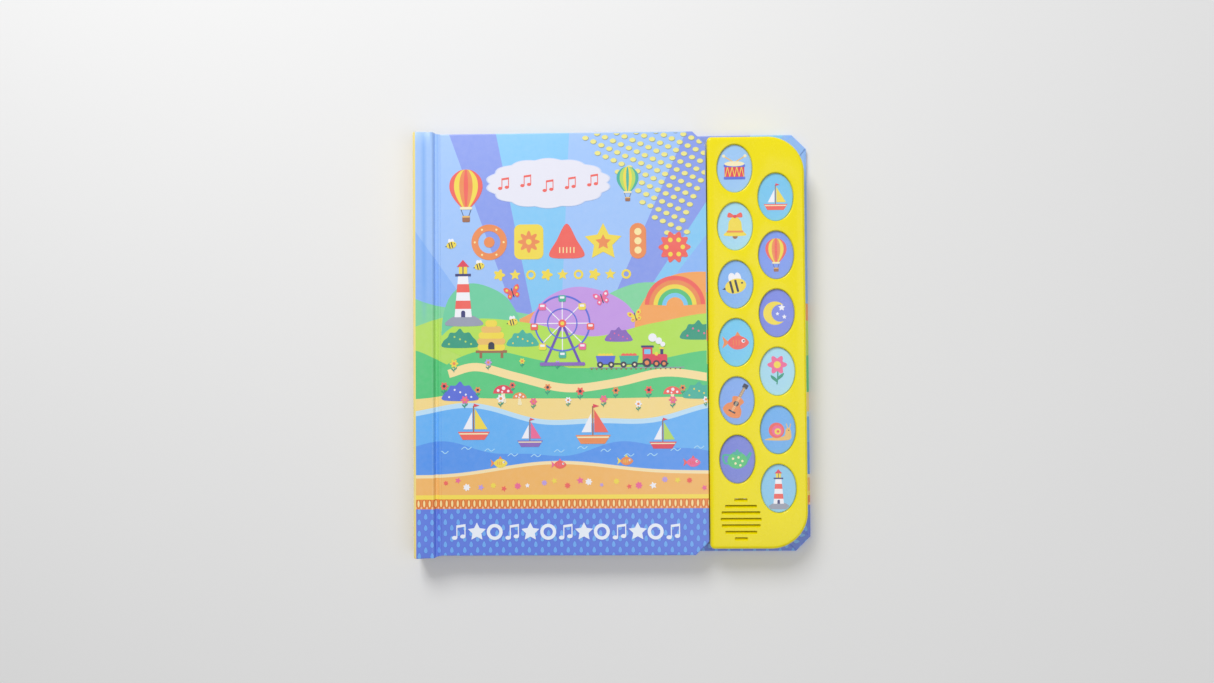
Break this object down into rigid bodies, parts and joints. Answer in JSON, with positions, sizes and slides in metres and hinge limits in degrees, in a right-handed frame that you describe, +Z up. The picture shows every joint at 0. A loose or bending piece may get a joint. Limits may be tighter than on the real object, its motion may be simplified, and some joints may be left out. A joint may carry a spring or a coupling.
{
  "type": "sound book",
  "caption": "Closed board book on its back, with a yellow push-button sound module beside its shorter front cover.",
  "frame": {"origin": "on the table, under the middle of the whole book", "axes": "+X from the spine to the fore edge, +Y from tail to head, +Z up out of the front cover"},
  "size_m": [0.2408, 0.2584, 0.0185],
  "materials": {
    "cover_wrap": "printed and coated",
    "spine_wrap": "printed and coated",
    "inner_sheet": "printed",
    "page_board": "cut edges of board leaves",
    "module_plastic": "glossy moulding",
    "key_print": "printed cap",
    "board_laminate": "laminate",
    "chip_resin": "cured resin",
    "capacitor_sleeve": "shrink sleeve",
    "keypad_rubber": "moulded",
    "foam_ring": "soft foam",
    "pressed_steel": "zinc plated",
    "cone_paper": "pressed pulp",
    "magnet_ferrite": "sintered",
    "cell_steel": "nickel plated",
    "screw_steel": "zinc plated",
    "red_wire": "insulation",
    "black_wire": "insulation"
  },
  "bodies": {
    "back": {"back_cover": "cover_wrap", "back_endpaper": "inner_sheet", "back_joint": "cover_wrap", "module_cover": "module_plastic", "module_base": "module_plastic", "circuit_board": "board_laminate", "chip_cap": "chip_resin", "capacitor": "capacitor_sleeve", "keypad": "keypad_rubber", "speaker_gasket": "foam_ring", "speaker_frame": "pressed_steel", "speaker_cone": "cone_paper", "speaker_magnet": "magnet_ferrite", "battery_door": "module_plastic", "battery_door_screw": "screw_steel", "button_cell_1": "cell_steel", "button_cell_2": "cell_steel", "button_cell_3": "cell_steel", "contact_positive": "cell_steel", "contact_negative": "cell_steel", "contact_link_1": "cell_steel", "contact_link_2": "cell_steel", "case_screw_1": "screw_steel", "case_screw_2": "screw_steel", "case_screw_3": "screw_steel", "case_screw_4": "screw_steel", "case_screw_5": "screw_steel", "case_screw_6": "screw_steel", "board_screw_1": "screw_steel", "board_screw_2": "screw_steel", "board_screw_3": "screw_steel", "board_screw_4": "screw_steel", "battery_wire_red": "red_wire", "battery_wire_black": "black_wire", "speaker_wire_red": "red_wire", "speaker_wire_black": "black_wire"},
    "pages": {"page_block": "page_board", "spine_panel": "spine_wrap", "front_joint": "cover_wrap"},
    "front_cover": {"front_cover": "cover_wrap", "front_endpaper": "inner_sheet"},
    "button_01": {"button_01": "key_print"},
    "button_02": {"button_02": "key_print"},
    "button_03": {"button_03": "key_print"},
    "button_04": {"button_04": "key_print"},
    "button_05": {"button_05": "key_print"},
    "button_06": {"button_06": "key_print"},
    "button_07": {"button_07": "key_print"},
    "button_08": {"button_08": "key_print"},
    "button_09": {"button_09": "key_print"},
    "button_10": {"button_10": "key_print"},
    "button_11": {"button_11": "key_print"},
    "button_12": {"button_12": "key_print"}
  },
  "joints": [
    {"name": "pages_hinge", "type": "hinge", "parent": "back", "child": "pages", "pos_m": [-0.11745, 0, 0.003], "axis": [0, -1, 0], "range_deg": [0, 90], "deforming": ["back_joint"]},
    {"name": "front_cover_hinge", "type": "hinge", "parent": "pages", "child": "front_cover", "pos_m": [-0.10665, 0, 0.0174], "axis": [0, 1, 0], "range_deg": [-180, 0], "deforming": ["front_joint"]},
    {"name": "button_01_press", "type": "slide", "parent": "back", "child": "button_01", "axis": [0, 0, -1], "range_m": [0, 0.0008], "stiffness_N_per_m": 400, "springref_m": -0.001, "deforming": ["keypad"]},
    {"name": "button_02_press", "type": "slide", "parent": "back", "child": "button_02", "axis": [0, 0, -1], "range_m": [0, 0.0008], "stiffness_N_per_m": 400, "springref_m": -0.001, "deforming": ["keypad"]},
    {"name": "button_03_press", "type": "slide", "parent": "back", "child": "button_03", "axis": [0, 0, -1], "range_m": [0, 0.0008], "stiffness_N_per_m": 400, "springref_m": -0.001, "deforming": ["keypad"]},
    {"name": "button_04_press", "type": "slide", "parent": "back", "child": "button_04", "axis": [0, 0, -1], "range_m": [0, 0.0008], "stiffness_N_per_m": 400, "springref_m": -0.001, "deforming": ["keypad"]},
    {"name": "button_05_press", "type": "slide", "parent": "back", "child": "button_05", "axis": [0, 0, -1], "range_m": [0, 0.0008], "stiffness_N_per_m": 400, "springref_m": -0.001, "deforming": ["keypad"]},
    {"name": "button_06_press", "type": "slide", "parent": "back", "child": "button_06", "axis": [0, 0, -1], "range_m": [0, 0.0008], "stiffness_N_per_m": 400, "springref_m": -0.001, "deforming": ["keypad"]},
    {"name": "button_07_press", "type": "slide", "parent": "back", "child": "button_07", "axis": [0, 0, -1], "range_m": [0, 0.0008], "stiffness_N_per_m": 400, "springref_m": -0.001, "deforming": ["keypad"]},
    {"name": "button_08_press", "type": "slide", "parent": "back", "child": "button_08", "axis": [0, 0, -1], "range_m": [0, 0.0008], "stiffness_N_per_m": 400, "springref_m": -0.001, "deforming": ["keypad"]},
    {"name": "button_09_press", "type": "slide", "parent": "back", "child": "button_09", "axis": [0, 0, -1], "range_m": [0, 0.0008], "stiffness_N_per_m": 400, "springref_m": -0.001, "deforming": ["keypad"]},
    {"name": "button_10_press", "type": "slide", "parent": "back", "child": "button_10", "axis": [0, 0, -1], "range_m": [0, 0.0008], "stiffness_N_per_m": 400, "springref_m": -0.001, "deforming": ["keypad"]},
    {"name": "button_11_press", "type": "slide", "parent": "back", "child": "button_11", "axis": [0, 0, -1], "range_m": [0, 0.0008], "stiffness_N_per_m": 400, "springref_m": -0.001, "deforming": ["keypad"]},
    {"name": "button_12_press", "type": "slide", "parent": "back", "child": "button_12", "axis": [0, 0, -1], "range_m": [0, 0.0008], "stiffness_N_per_m": 400, "springref_m": -0.001, "deforming": ["keypad"]}
  ]
}
